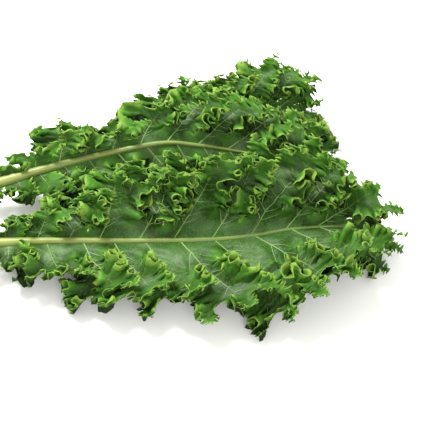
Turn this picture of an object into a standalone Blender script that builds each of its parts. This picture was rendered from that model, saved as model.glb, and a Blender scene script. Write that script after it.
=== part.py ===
"""A bunch of curly kale: three leaves that lie in a loose pile, each half over the next.

Each leaf is two solids: its stem, which is the pale stalk and the midrib that it runs into, and its
blade, a thin sheet that is cut into overlapping lobes and frilled all along its rim. The blade is
drawn flat, triangulated, laid along the stem and then waved, one form after another. All leaf
measures are in millimetres; x runs from the cut ends to the leaf tips, y to the back, z up.
"""

import math

import bpy
import numpy as np
from mathutils import Vector, geometry, kdtree

MM = 0.001
BUNCH = "kale_bunch"
PLACE = (25.7, -1.5, 0.0)       # moves the pile so that it stands centred over the origin

BLADE_THICKNESS = 0.8
STEM_CLEARANCE = 0.4            # between a stem and the slot in the blade that it lies in
STEM_WING = 2.4                 # narrowest strip of blade left along a stem
STEM_HOLDS = 9.0                # distance from a stem over which its blade comes free to wave
STEM_POINTS = 26
RIM_SPACING = 4.4               # between points along the rim of a blade
INNER_SPACING = ((0, 4.8), (9, 7.0), (20, 11))      # from this depth inside the rim, this spacing
FRAME_ROUNDS = 2                # smoothing of the directions that waves are pushed along
OUTLINE_STEPS = 6000            # samples that the outline and its measures are read from
MEASURE_SPACING = 1.5           # between points of the line that the waves run along
NEAR_SPACING = 0.4              # between the same line's points when distances to it are taken
EVENING_ROUNDS = 14             # of the line that the waves run along

# Angles between the midrib and the lateral veins, from the base of the blade to its tip
VEIN_PLACES = ((0, 0), (0.12, 0.16), (0.35, 0.44), (0.6, 0.72), (0.8, 0.9), (1, 1))
VEIN_ANGLES = ((0, 112), (0.1, 80), (0.3, 64), (0.55, 54), (0.78, 40), (0.92, 17), (1, 0))
REACH_AT = (0, 0.1, 0.2, 0.35, 0.5, 0.65, 0.8, 0.92, 1)
LIFT_AT = (0, 0.3, 0.6, 0.85, 1)
LIFT_WIDTH = 75.0               # from the midrib, over which a half turns from its first to last lift

CUT_SHARE = 0.06                # half width of a cut between lobes, as a share of a lobe
CUT_DEPTHS = (0.84, 0.84, 0.84, 0.82, 0.82, 0.8, 0.8, 0.78, 0.76, 0.7, 0.58)
SCALLOPS = 3                    # small points along each lobe
SCALLOP_DEPTH = 0.14
LOBE_SPREAD = 0.6               # how far a lobe reaches over the next one, as a share of its width
LOBE_FAN = 0.9                  # how many times that it reaches further still at its end
LOBE_GROWS = 11.0               # distance past the foot of a cut over which a lobe spreads
LOBE_TILT = 10.0                # height of one edge of a lobe over its middle; the other is as low
LOBE_TILT_MOST = 1.3            # how many times that height it may come to at the end of a lobe
LOBE_SWING = 3.0                # height by which every other lobe lies over its neighbours
BEND_FROM = 0.35                # share of the reach at which a lobe starts to bend
RIM_BAND = 14.0                 # width of the strip along the rim that curls up
RIM_CURL_VARIES = 0.5
CURL_GROWS = 14.0               # distance past the foot of a cut over which the rim comes to curl
RUFFLES = ((24, 8.0, 27), (12, 4.8, 16))    # wave length, height, and depth in from the rim
WAVE_LEAN = 0.42                # of a wave's height, by which its sides lean over its foot
WAVE_FLARE = 0.25               # of a wave's height, by which its crests reach outwards
WAVE_GROWS = 0.35               # wave lengths past the foot of a cut, over which a wave grows

# Dividing surfaces between the leaves, as height over y
UNDER_FRONT_LEAF = ((-60, -8), (-42, 1), (15, 38), (60, 95))
UNDER_MIDDLE_LEAF = ((-30, -6), (0, 3), (20, 13), (30, 20), (80, 40), (120, 95))
LEAF_GAP = 0.9
SOFTNESS = 7.0                  # over this height a blade is pressed against a dividing surface
TABLE_SOFTNESS = 16.0

LEAVES = (
    dict(
        name="leaf_front", seed=11, layer="over", lowest=5.5,
        rib=((-195, -48, 12), (-165, -46, 13), (-115, -46, 15), (-60, -47, 16), (0, -47, 18),
             (30, -44, 19), (60, -40, 22), (95, -39, 24), (125, -41, 22), (150, -44, 12)),
        stalk=14, rib_end=296,
        stem_at=(0, 30, 80, 200, 300), stem_radius=(4.8, 4.3, 3.0, 2.0, 0.9),
        back_reach=(10, 21, 45, 72, 80, 78, 55, 40, 30),
        front_reach=(20, 32, 60, 72, 90, 91, 60, 52, 46),
        back_cuts=(0.04, 0.10, 0.16, 0.23, 0.31, 0.39, 0.48, 0.57, 0.67, 0.77, 0.89),
        front_cuts=(0.045, 0.11, 0.19, 0.26, 0.33, 0.41, 0.49, 0.58, 0.68, 0.785, 0.895),
        back_lift=((10, 18, 22, 20, 5), (15, 30, 38, 25, 0)),
        front_lift=((5, 8, 10, 10, 5), (-5, -12, -15, -15, -15)),
        back_bend=(0, 20, 30, 70, 40, 80, 50, 80, 60, 50, 30, 0),
        front_bend=(0, -10, 30, 20, 30, 40, 30, 20, 30, 60, 0, -20),
        back_cut_share=(1, 1, 0.95, 1, 0.85, 1, 0.8, 1, 0.9, 1, 1),
        front_cut_share=(0.85, 0.9, 0.6, 0.9, 0.75, 0.55, 0.9, 0.65, 0.85, 0.7, 1),
        swing_start=(0.3, 1.2), rim_curl=(1.15, 1.05),
    ),
    dict(
        name="leaf_middle", seed=23, layer="between", lowest=4.5,
        rib=((-192, 3, 17), (-165, 9, 20), (-126, 19, 26), (-80, 27, 34), (-38, 32, 40),
             (-9, 31, 38), (18, 28, 35), (41, 25, 32), (69, 21, 27), (92, 18, 17)),
        stalk=18, rib_end=245,
        stem_at=(0, 30, 80, 180, 250), stem_radius=(4.6, 4.1, 2.8, 1.6, 0.8),
        back_reach=(12, 15, 32, 24, 53, 55, 52, 38, 28),
        front_reach=(12, 20, 38, 54, 60, 60, 50, 34, 26),
        back_cuts=(0.04, 0.095, 0.16, 0.23, 0.305, 0.39, 0.475, 0.57, 0.67, 0.78, 0.89),
        front_cuts=(0.045, 0.10, 0.165, 0.235, 0.315, 0.40, 0.49, 0.585, 0.685, 0.78, 0.89),
        back_lift=((30, 35, 22, 20, 5), (45, 50, 25, 15, 0)),
        front_lift=((-5, -20, -40, -30, -10), (-15, -50, -60, -50, -30)),
        back_bend=(0, 0, 20, 20, 10, 30, 10, 30, 10, 20, 10, 0),
        front_bend=(0, -10, 0, 10, 0, 20, -20, 10, -10, 0, 0, 0),
        back_cut_share=(1, 1, 1, 1, 0.9, 1, 0.85, 1, 0.9, 1, 1),
        front_cut_share=(1, 1, 1, 1, 1, 1, 1, 1, 1, 1, 1),
        swing_start=(1.3, 0.2), rim_curl=(1.15, 1.05),
    ),
    dict(
        name="leaf_back", seed=37, layer="under", lowest=4.0,
        rib=((-118, 40, 9), (-80, 50, 11), (-40, 62, 14), (0, 73, 17), (40, 83, 20),
             (65, 88, 20), (85, 88, 14), (100, 84, 6)),
        stalk=12, rib_end=190,
        stem_at=(0, 30, 80, 150, 200), stem_radius=(3.6, 3.2, 2.6, 1.8, 0.8),
        back_reach=(12, 18, 36, 44, 44, 52, 42, 26, 20),
        front_reach=(18, 30, 38, 44, 48, 52, 58, 56, 40),
        back_cuts=(0.045, 0.10, 0.17, 0.24, 0.32, 0.405, 0.49, 0.585, 0.68, 0.78, 0.89),
        front_cuts=(0.04, 0.095, 0.16, 0.235, 0.31, 0.395, 0.485, 0.575, 0.67, 0.775, 0.89),
        back_lift=((25, 35, 38, 30, 5), (30, 35, 30, 20, -10)),
        front_lift=((0, 0, 0, 0, -10), (5, 5, 5, -10, -20)),
        back_bend=(20, 40, 20, 30, 10, 30, 10, 20, 10, 20, 0, 0),
        front_bend=(0, 10, 0, 10, 0, 20, 0, 10, 0, 0, 0, 0),
        back_cut_share=(1, 1, 1, 1, 0.9, 1, 0.9, 1, 1, 1, 1),
        front_cut_share=(1, 1, 1, 1, 1, 1, 0.9, 1, 1, 1, 1),
        swing_start=(0.8, 1.9), rim_curl=(1.15, 1.05),
    ),
)

# --- curves and smooth numbers ------------------------------------------------------------------


def distances(line):
    """Distance run along a line at each of its points."""
    return np.r_[0, np.cumsum(np.linalg.norm(np.diff(line, axis=0), axis=1))]


def spaced(line, count):
    """The line again, with points evenly spaced along it, and the distance run at each."""
    run = distances(line)
    at = np.linspace(0, run[-1], count)
    return np.stack([np.interp(at, run, column) for column in line.T], axis=1), at


def smooth_curve(points, count=400):
    """A smooth curve through the points."""
    points = np.asarray(points, float)
    ends = np.vstack([2*points[0]-points[1], points, 2*points[-1]-points[-2]])
    t = np.linspace(0, 1, 40, endpoint=False)[:, None]
    runs = []
    for a, b, c, d in zip(ends, ends[1:], ends[2:], ends[3:]):
        runs.append(0.5*(2*b+(c-a)*t+(2*a-5*b+4*c-d)*t**2+(3*b-a-3*c+d)*t**3))
    return spaced(np.vstack(runs+[points[-1:]]), count)[0]


def ease(x):
    """0 to 1 with a soft start and end."""
    x = np.clip(x, 0, 1)
    return x*x*(3-2*x)


def read_table(x, at, values):
    """A smooth curve through a short table, read at x."""
    at, values = np.asarray(at, float), np.asarray(values, float)
    slopes = np.gradient(values, at)
    i = np.clip(np.searchsorted(at, x)-1, 0, len(at)-2)
    span = at[i+1]-at[i]
    t = np.clip((x-at[i])/span, 0, 1)
    rise, turn = t*t*(3-2*t), t*(1-t)
    return (values[i]*(1-rise)+values[i+1]*rise
            + span*turn*((1-t)*slopes[i]-t*slopes[i+1]))


def make_wander(random, length):
    """A smooth random function of one number, about -1 to 1, that wanders over the length."""
    rates = random.uniform(0.5, 1.6, 4)*2*math.pi/length
    starts = random.uniform(0, 2*math.pi, 4)
    return lambda x: 0.62*sum(np.sin(np.asarray(x)*r+s) for r, s in zip(rates, starts))/1.4


def unit(vectors):
    return vectors/(np.linalg.norm(vectors, axis=1)[:, None]+1e-9)


def is_inside(points, loop):
    """Which points lie inside a closed flat loop."""
    inside = np.zeros(len(points), bool)
    order = np.argsort(points[:, 1])
    heights = points[order, 1]
    for (x0, y0), (x1, y1) in zip(loop, np.roll(loop, -1, axis=0)):
        if y0 == y1:
            continue
        first, last = np.searchsorted(heights, sorted((y0, y1)))
        rows = order[first:last]
        crossing = x0+(points[rows, 1]-y0)*(x1-x0)/(y1-y0)
        inside[rows] ^= points[rows, 0] < crossing
    return inside


def nearest(points, targets):
    """For each point the nearest target's number and distance, all flat."""
    tree = kdtree.KDTree(len(targets))
    for i, (x, y) in enumerate(targets):
        tree.insert((x, y, 0), i)
    tree.balance()
    found = [tree.find((x, y, 0)) for x, y in points]
    return np.array([f[1] for f in found], int), np.array([f[2] for f in found])


# --- the flat leaf ------------------------------------------------------------------------------


class Leaf:
    """One leaf: where its rib runs, and its flat outline. Along the leaf is x, the back half is +y.

    A place on a blade is also known by its vein: u, 0 at the base and 1 at the tip, says where a
    lateral vein leaves the rib, and w is the distance out along it.
    """

    def __init__(self, plan):
        self.plan = plan
        self.line = smooth_curve(plan["rib"])
        self.run = distances(self.line)
        self.start, self.end = plan["stalk"], plan["rib_end"]
        self.halves = [
            dict(reach=plan[f"{side}_reach"], cuts=np.array(plan[f"{side}_cuts"]),
                 lift=plan[f"{side}_lift"], bend=plan[f"{side}_bend"],
                 swing=plan["swing_start"][i], curl=plan["rim_curl"][i],
                 depths=np.array(CUT_DEPTHS)*plan[f"{side}_cut_share"])
            for i, side in enumerate(("back", "front"))]
        self.measure_rim()

    def stem_radius(self, along):
        return np.interp(along, self.plan["stem_at"], self.plan["stem_radius"])

    def vein(self, u):
        """Where the vein u leaves the rib, and its angle to the rib."""
        share = read_table(u, *zip(*VEIN_PLACES))
        angle = np.radians(read_table(u, *zip(*VEIN_ANGLES)))
        return self.start+(self.end-self.start)*share, angle

    def half_outline(self, half, random):
        """The outline of one half, from the base to the tip, with its cuts and scallops."""
        u = np.linspace(0, 1, OUTLINE_STEPS)
        reach = read_table(u, REACH_AT, half["reach"])
        edges = np.r_[0, half["cuts"], 2-half["cuts"][-1]]
        lobe = np.interp(u, edges, np.arange(len(edges)))
        reach = reach*(1-SCALLOP_DEPTH*(1-np.abs(np.sin(SCALLOPS*math.pi*lobe)))**2.5)
        for cut, before, after, depth in zip(edges[1:], edges, edges[2:], half["depths"]):
            width = CUT_SHARE*(after-before)/2
            reach = reach*(1-depth*np.exp(-((u-cut)/width)**4))
        reach = reach*(1+0.07*make_wander(random, 0.05)(u)+0.06*make_wander(random, 0.2)(u))
        start, angle = self.vein(u)
        along = start+reach*np.cos(angle)
        wing = np.where(along < self.end, self.stem_radius(along)+STEM_WING, 0)
        return np.stack([along, np.maximum(reach*np.sin(angle), wing)], axis=1)

    def measure_rim(self):
        """The rim, and the evened line near it that the waves run along, with its directions."""
        random = np.random.default_rng(self.plan["seed"])
        back, front = (self.half_outline(half, random) for half in self.halves)
        self.rim = np.vstack([back, (front*(1, -1))[::-1][1:]])
        self.rim_run = distances(self.rim)
        points, _ = spaced(self.rim, int(self.rim_run[-1]/MEASURE_SPACING))
        for _ in range(EVENING_ROUNDS):
            points[1:-1] = (points[:-2]+2*points[1:-1]+points[2:])/4
        count = int(distances(points)[-1]/MEASURE_SPACING)
        self.rim_points, self.rim_at = spaced(points, count)
        self.rim_along = unit(np.gradient(self.rim_points, axis=0))
        self.rim_out = np.stack([-self.rim_along[:, 1], self.rim_along[:, 0]], axis=1)
        # the widest circle that touches the rim at a point and stays inside the blade
        room = np.empty(count)
        for i, (point, out) in enumerate(zip(self.rim_points, self.rim_out)):
            away = self.rim_points-point
            inward = -away@out
            radius = (away**2).sum(1)/np.maximum(2*inward, 1e-6)
            room[i] = min(40, radius[inward > 0.3].min(initial=40))
        around = np.ones(5)/5
        self.rim_room = np.maximum(2, np.convolve(np.pad(room, 2, mode="edge"), around, "valid"))
        # how much of each wave a place on the rim takes: little at the foot of a cut
        u, w = self.veins_of(self.rim_points)
        web = self.lobe_at(u, self.rim_points[:, 1])[2]
        self.rim_share = ease((w-web-1)/7)

    def lobe_at(self, u, side):
        """The lobe that the vein u lies in, how far out it reaches, and where its cuts begin."""
        lobes, reaches, webs = [], [], []
        for half in self.halves:
            edges = np.r_[0, half["cuts"], 2-half["cuts"][-1]]
            lobes.append(np.interp(u, edges, np.arange(len(edges))))
            reaches.append(read_table(u, REACH_AT, half["reach"]))
            depth = np.interp(lobes[-1], np.arange(1, len(half["depths"])+1), half["depths"])
            webs.append(reaches[-1]*(1-depth))
        return tuple(np.where(side >= 0, *both) for both in (lobes, reaches, webs))

    def along_rim(self, at, values):
        """Values measured along the rim, read at other places along it."""
        return np.stack([np.interp(at, self.rim_at, column) for column in values.T], axis=1)

    def slot(self, width_over_stem, spacing):
        """The slot that the stem lies in, from its base on the front side round to the back."""
        along = np.linspace(self.start-4, self.end, 60)
        half = self.stem_radius(along)+width_over_stem
        turn = np.linspace(-math.pi/2, math.pi/2, 7)[1:-1]
        nose = np.stack([self.end+half[-1]*np.cos(turn), half[-1]*np.sin(turn)], axis=1)
        side = spaced(np.stack([along, half], axis=1), int(along[-1]/spacing))[0]
        return np.vstack([side*(1, -1), nose, side[::-1]])

    def triangulate(self, random):
        """The flat blade as points and triangles, finest along the rim."""
        count = int(self.rim_run[-1]/RIM_SPACING)
        at = np.linspace(0, self.rim_run[-1], count)
        rim = np.stack([np.interp(at, self.rim_run, column) for column in self.rim.T], axis=1)
        loop = np.vstack([rim, self.slot(STEM_CLEARANCE, INNER_SPACING[1][1])])
        low, high = loop.min(0), loop.max(0)
        inner = []
        for (depth, spacing), (next_depth, _) in zip(INNER_SPACING, INNER_SPACING[1:]+((999, 0),)):
            x, y = np.meshgrid(np.arange(low[0], high[0], spacing),
                               np.arange(low[1], high[1], spacing*math.sqrt(0.75)))
            x[1::2] += spacing/2
            grid = np.stack([x.ravel(), y.ravel()], axis=1)
            grid = grid+random.uniform(-0.12, 0.12, grid.shape)*spacing
            grid = grid[is_inside(grid, loop)]
            far = nearest(grid, loop)[1]
            inner.append(grid[(far >= max(depth, 0.62*spacing)) & (far < next_depth)])
        points = np.vstack([loop]+inner)
        edges = [(i, (i+1) % len(loop)) for i in range(len(loop))]
        found = geometry.delaunay_2d_cdt([Vector(p) for p in points], edges, [], 0, 1e-5, False)
        flat, triangles = np.array([tuple(p) for p in found[0]]), np.array(found[2])
        triangles = triangles[is_inside(flat[triangles].mean(1), loop)]
        a, b = (flat[triangles[:, i]]-flat[triangles[:, 0]] for i in (1, 2))
        turned = a[:, 0]*b[:, 1] < a[:, 1]*b[:, 0]
        triangles[turned] = triangles[turned][:, ::-1]
        used, triangles = np.unique(triangles, return_inverse=True)
        return flat[used], triangles.reshape(-1, 3)

    def veins_of(self, flat):
        """The u and w of flat points, found by halving."""
        out = np.abs(flat[:, 1])
        low, high = np.zeros(len(flat)), np.ones(len(flat))
        for _ in range(26):
            middle = (low+high)/2
            start, angle = self.vein(middle)
            beyond = (flat[:, 0]-start)*np.sin(angle) > out*np.cos(angle)
            low, high = np.where(beyond, middle, low), np.where(beyond, high, middle)
        start, _ = self.vein(low)
        return low, np.hypot(flat[:, 0]-start, out)


# --- the waved blade ----------------------------------------------------------------------------


class Blade:
    """The blade's middle surface, waved step by step. Each step reads the surface's own directions."""

    def __init__(self, leaf):
        self.leaf = leaf
        seed = leaf.plan["seed"]
        self.flat, self.triangles = leaf.triangulate(np.random.default_rng(seed+7))
        self.back = self.flat[:, 1] >= 0
        self.side = np.where(self.back, 1.0, -1.0)
        self.measure_from_rim()
        self.u, self.w = leaf.veins_of(self.flat)
        start, angle = leaf.vein(self.u)
        self.flat_vein = np.stack([np.cos(angle), np.sin(angle)*self.side], axis=1)
        past = np.maximum(self.flat[:, 0]-leaf.end, 0)
        gap = np.hypot(past, self.flat[:, 1])-leaf.stem_radius(self.flat[:, 0])-STEM_CLEARANCE
        self.free = ease(gap/STEM_HOLDS)
        self.lobe, self.reach, web = leaf.lobe_at(self.u, self.side)
        self.past_web = self.w-web
        self.curl_share = self.rim_share*ease((self.past_web-1)/CURL_GROWS)
        self.random = np.random.default_rng(seed+21)

    def measure_from_rim(self):
        """How far each point is from the rim, and where along it, with the directions there."""
        leaf = self.leaf
        at = np.linspace(0, leaf.rim_at[-1], int(leaf.rim_at[-1]/NEAR_SPACING))
        points = leaf.along_rim(at, leaf.rim_points)
        near, depth = nearest(self.flat, points)
        self.rim_at = at[near]
        self.room = np.interp(self.rim_at, leaf.rim_at, leaf.rim_room)
        self.rim_share = np.interp(self.rim_at, leaf.rim_at, leaf.rim_share)
        self.flat_along = unit(leaf.along_rim(self.rim_at, leaf.rim_along))
        self.flat_out = unit(leaf.along_rim(self.rim_at, leaf.rim_out))
        outside = ((self.flat-points[near])*self.flat_out).sum(1) > 0
        self.depth = np.where(outside, 0, depth)

    def by_half(self, read):
        """A value for each point, read for the half that it is on."""
        back, front = (read(half) for half in self.leaf.halves)
        return np.where(self.back, back, front)

    def directions(self, flat_directions):
        """Flat directions carried onto the waved surface, and its normal, smoothed."""
        a, b, c = self.triangles.T
        flat_1, flat_2 = self.flat[b]-self.flat[a], self.flat[c]-self.flat[a]
        edge_1, edge_2 = self.points[b]-self.points[a], self.points[c]-self.points[a]
        area = (flat_1[:, 0]*flat_2[:, 1]-flat_1[:, 1]*flat_2[:, 0])[:, None]
        stretch = np.hstack([edge_1*flat_2[:, 1:]-edge_2*flat_1[:, 1:],
                             edge_2*flat_1[:, :1]-edge_1*flat_2[:, :1]])
        total, weight = np.zeros((len(self.flat), 6)), np.zeros((len(self.flat), 1))
        for corner in (a, b, c):
            np.add.at(total, corner, stretch)
            np.add.at(weight, corner, area)
        total /= weight
        ends = np.hstack([[a, b], [b, c], [c, a]])
        for _ in range(FRAME_ROUNDS):
            sums, counts = total.copy(), np.ones((len(self.flat), 1))
            for one, other in (ends, ends[::-1]):
                np.add.at(sums, one, total[other])
                np.add.at(counts, one, 1)
            total = sums/counts
        along_x, along_y = total[:, :3], total[:, 3:]
        normal = unit(np.cross(along_x, along_y))
        carried = along_x*flat_directions[:, :1]+along_y*flat_directions[:, 1:]
        carried = unit(carried-normal*(carried*normal).sum(1)[:, None])
        return carried, normal

    def lay_on_rib(self):
        """Lay the flat blade along its rib, with each half lifted and curved sideways."""
        leaf = self.leaf
        at = self.flat[:, 0]
        share = at/leaf.run[-1]
        middle = np.stack([np.interp(at, leaf.run, column) for column in leaf.line.T], axis=1)
        tangents = np.gradient(leaf.line, axis=0)
        for _ in range(30):
            tangents[1:-1] = (tangents[:-2]+2*tangents[1:-1]+tangents[2:])/4
        ahead = unit(np.stack([np.interp(at, leaf.run, column) for column in tangents.T], axis=1))
        across = unit(np.cross([0, 0, 1.0], ahead))
        up = np.cross(ahead, across)
        first = np.radians(self.by_half(lambda half: np.interp(share, LIFT_AT, half["lift"][0])))
        last = np.radians(self.by_half(lambda half: np.interp(share, LIFT_AT, half["lift"][1])))
        out = np.abs(self.flat[:, 1])
        turn = (last-first)/LIFT_WIDTH
        turn = np.where(np.abs(turn) < 1e-5, 1e-5, turn)
        sideways = (np.sin(first+turn*out)-np.sin(first))/turn
        rise = (np.cos(first)-np.cos(first+turn*out))/turn
        self.points = middle+across*(sideways*self.side)[:, None]+up*rise[:, None]

    def spread_lobes(self):
        """Widen the lobes so that each covers the next one's edge, with one edge high, one low."""
        lobe = self.lobe
        grown = ease((self.past_web+1)/LOBE_GROWS)+LOBE_FAN*ease(self.past_web/self.reach)
        grown *= ease((lobe-0.5)/2.5)          # less beside the stalk
        vein, normal = self.directions(self.flat_vein)
        forward = np.cross(normal, vein)*(-self.side)[:, None]
        from_middle = np.where(lobe < 0.5, 0, 2*(lobe-np.floor(lobe)-0.5))
        swing = np.sin(math.pi*lobe+self.by_half(lambda half: half["swing"]))
        lift = LOBE_TILT*from_middle+LOBE_SWING*swing*np.minimum(grown, 1)
        spread = LOBE_SPREAD*(self.leaf.end-self.leaf.start)/(len(CUT_DEPTHS)+1)
        self.points = (self.points+forward*(spread*from_middle*grown)[:, None]
                       + normal*(lift*np.minimum(grown, LOBE_TILT_MOST))[:, None])

    def bend_lobes(self):
        """Bend each lobe up or down by its own angle."""
        angle = np.radians(self.by_half(self.lobe_bend))
        from_start = np.maximum(self.w-BEND_FROM*self.reach, 0)
        turn = np.where(np.abs(angle) < 1e-3, 1e-3, angle)/((1-BEND_FROM)*self.reach)
        vein, normal = self.directions(self.flat_vein)
        bent = turn*from_start
        self.points = (self.points+vein*(np.sin(bent)/turn-from_start)[:, None]
                       + normal*((1-np.cos(bent))/turn)[:, None])

    def lobe_bend(self, half):
        """Each lobe's bend, eased into its neighbour's over the cut between them."""
        bends = np.array(half["bend"], float)
        number = np.clip(np.floor(self.lobe), 0, len(bends)-1).astype(int)
        share = self.lobe-number
        before, after = bends[np.maximum(number-1, 0)], bends[np.minimum(number+1, len(bends)-1)]
        blend_before, blend_after = ease(0.5-share/0.3), ease(0.5-(1-share)/0.3)
        return (bends[number]*(1-blend_before-blend_after)
                + before*blend_before+after*blend_after)

    def curl_rim(self):
        """Turn a strip along the rim up, more in one place than in another."""
        vary = (0.8*make_wander(self.random, 24)(self.rim_at)
                + 0.5*make_wander(self.random, 70)(self.rim_at))
        angle = self.by_half(lambda half: half["curl"])+RIM_CURL_VARIES*vary
        angle = np.clip(angle, -0.4, 1.7)*self.curl_share*self.free
        width = np.minimum(RIM_BAND, 1.25*self.room)
        from_start = np.maximum(width-self.depth, 0)
        turn = np.where(np.abs(angle) < 0.02, 0.02, angle)/width
        out, normal = self.directions(self.flat_out)
        bent = turn*from_start
        self.points = (self.points+out*(np.sin(bent)/turn-from_start)[:, None]
                       + normal*((1-np.cos(bent))/turn)[:, None])

    def ruffle(self, length, height, deep):
        """Waves along the rim that lean over their own foot and die out towards the rib."""
        phase = (2*math.pi*self.rim_at/length
                 + 1.6*make_wander(self.random, 4*length)(self.rim_at))
        height = height*(0.85+0.45*make_wander(self.random, 3*length)(self.rim_at))
        fade = np.clip(self.depth/np.minimum(deep, 0.95*self.room), 0, 1)
        height = height*np.minimum(1, self.room/(0.5*deep))*(1-ease(fade))*self.free
        height = height*(0.12+0.88*ease(self.past_web/(WAVE_GROWS*length)))
        along, normal = self.directions(self.flat_along)
        out, _ = self.directions(self.flat_out)
        self.points = (self.points+normal*(height*np.sin(phase))[:, None]
                       - along*(WAVE_LEAN*height*np.sin(2*phase))[:, None]
                       + out*(WAVE_FLARE*height*np.cos(2*phase))[:, None])

    def settle(self):
        """Press the blade against the leaves over and under it, and against the table."""
        plan = self.leaf.plan
        self.points[:, 2] = settled(self.points, plan["layer"], plan["lowest"])

    def shape(self):
        self.lay_on_rib()
        self.spread_lobes()
        self.bend_lobes()
        self.curl_rim()
        for length, height, deep in RUFFLES:
            self.ruffle(length, height, deep)
        self.settle()
        return self.points


def pressed(height, softness):
    """A height that stays over 0, and is nearly unchanged well over it."""
    return (height+np.sqrt(height*height+softness*softness))/2


def settled(points, layer, lowest):
    """Heights of the points once the leaves lie on each other, in their layer of the pile.

    What is lower than lowest is flattened against the table.
    """
    x, y, z = points.T
    under_front = np.interp(y, *zip(*UNDER_FRONT_LEAF))
    under_middle = np.interp(y, *zip(*UNDER_MIDDLE_LEAF))
    if layer == "over":
        floor = under_front+LEAF_GAP
        z = floor+pressed(z-floor, SOFTNESS)
    if layer == "between":
        floor = under_middle+LEAF_GAP
        z = floor+pressed(z-floor, SOFTNESS)
    if layer != "over":
        roof = (under_front if layer == "between" else under_middle)-LEAF_GAP
        z = roof-pressed(roof-z, SOFTNESS)
    z = np.where(z < TABLE_SOFTNESS, TABLE_SOFTNESS*(z-lowest)/(TABLE_SOFTNESS-lowest), z)
    return np.maximum(z, BLADE_THICKNESS/2)


# --- objects ------------------------------------------------------------------------------------


def make_material(name, color, roughness):
    material = bpy.data.materials.new(name)
    material.use_nodes = True
    shader = material.node_tree.nodes["Principled BSDF"]
    shader.inputs["Base Color"].default_value = (*color, 1)
    shader.inputs["Roughness"].default_value = roughness
    shader.inputs["Metallic"].default_value = 0
    return material


def make_blade(leaf, material, collection, parent):
    blade = Blade(leaf)
    points = (blade.shape()+PLACE)*MM
    mesh = bpy.data.meshes.new(leaf.plan["name"]+"_blade")
    mesh.from_pydata(points.tolist(), [], blade.triangles.tolist())
    mesh.materials.append(material)
    piece = bpy.data.objects.new(mesh.name, mesh)
    wall = piece.modifiers.new("thickness", "SOLIDIFY")
    wall.thickness = BLADE_THICKNESS*MM
    wall.offset = 0
    collection.objects.link(piece)
    piece.parent = parent
    return piece


def make_stem(leaf, material, collection, parent):
    """The stalk and midrib: a tube that thins towards the tip, with plain cut ends."""
    at = np.linspace(0, leaf.end, STEM_POINTS)
    points = np.stack([np.interp(at, leaf.run, column) for column in leaf.line.T], axis=1)
    points[:, 2] = settled(points, leaf.plan["layer"], leaf.plan["lowest"])
    points = (points+PLACE)*MM
    curve = bpy.data.curves.new(leaf.plan["name"]+"_stem", "CURVE")
    curve.dimensions = "3D"
    curve.bevel_depth = MM
    curve.bevel_resolution = 2
    curve.use_fill_caps = True
    curve.materials.append(material)
    spline = curve.splines.new("POLY")
    spline.points.add(STEM_POINTS-1)
    for point, place, radius in zip(spline.points, points, leaf.stem_radius(at)):
        point.co = (*place, 1)
        point.radius = radius
    piece = bpy.data.objects.new(curve.name, curve)
    collection.objects.link(piece)
    piece.parent = parent
    return piece


def main():
    for old in list(bpy.data.objects):
        bpy.data.objects.remove(old)
    collection = bpy.data.collections.new(BUNCH)
    bpy.context.scene.collection.children.link(collection)
    bunch = bpy.data.objects.new(BUNCH, None)
    collection.objects.link(bunch)
    blade_green = make_material("kale_blade", (0.045, 0.16, 0.03), 0.45)
    stem_green = make_material("kale_stem", (0.36, 0.46, 0.14), 0.5)
    for plan in LEAVES:
        leaf = Leaf(plan)
        make_stem(leaf, stem_green, collection, bunch)
        make_blade(leaf, blade_green, collection, bunch)


main()
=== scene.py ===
"""The looks of a bunch of curly kale: three leaves with frilled blades, pale stems and raised veins.

Each blade is drawn flat, with its lobes and teeth, triangulated finely, laid along its stem and then
waved, one form after another: the main forms are the CAD blades' own, and the small ruffles, the
puckers between the veins and the veins themselves are added here. Leaf measures are in millimetres;
x runs from the cut ends to the leaf tips, y to the back, z up.
"""

import math

import bpy
import numpy as np
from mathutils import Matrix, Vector, geometry, kdtree
from mathutils.bvhtree import BVHTree


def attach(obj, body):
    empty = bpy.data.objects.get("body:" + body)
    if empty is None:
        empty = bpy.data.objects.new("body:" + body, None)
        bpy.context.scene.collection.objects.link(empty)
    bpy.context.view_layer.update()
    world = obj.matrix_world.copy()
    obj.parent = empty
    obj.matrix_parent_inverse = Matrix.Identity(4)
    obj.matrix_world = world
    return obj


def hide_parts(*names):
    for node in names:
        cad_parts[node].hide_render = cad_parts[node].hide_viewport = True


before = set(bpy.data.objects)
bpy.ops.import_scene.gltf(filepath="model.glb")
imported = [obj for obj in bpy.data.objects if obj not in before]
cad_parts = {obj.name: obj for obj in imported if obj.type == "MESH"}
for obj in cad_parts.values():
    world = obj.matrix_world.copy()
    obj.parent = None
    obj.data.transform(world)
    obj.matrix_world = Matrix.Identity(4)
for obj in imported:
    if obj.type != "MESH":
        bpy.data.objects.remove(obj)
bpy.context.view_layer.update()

MM = 0.001
METRE = 1000.0                  # in millimetres
PLACE = (25.7, -1.5, 0.0)       # moves the pile so that it stands centred over the origin

# Added to a leaf's seed, so that its teeth, mesh, veins and waves each draw their own numbers
TOOTH_SEED, MESH_SEED, VEIN_SEED, WAVE_SEED = 3, 7, 11, 21

# The sheet of a blade, and its mesh
CAD_THICKNESS = 0.8             # of the CAD blades, which sets how low a blade may come
BLADE_THICKNESS = 0.4
RIM_SPACING = 0.4               # between the mesh's points along the rim
INNER_SPACING = ((0, 0.65), (2.5, 1.0), (6, 1.6), (13, 2.8))    # from this depth inside, this spacing
SPACING_VARIES = 0.12           # how far a point inside may stray, as a share of the spacing
RIM_CLEAR = 0.5                 # share of the spacing that such a point keeps from the rim
NEAR_SPACING = 0.4              # between the points of the rim from which depths are measured
VEIN_HALVINGS = 26              # of the search for the vein that a point lies on

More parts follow.
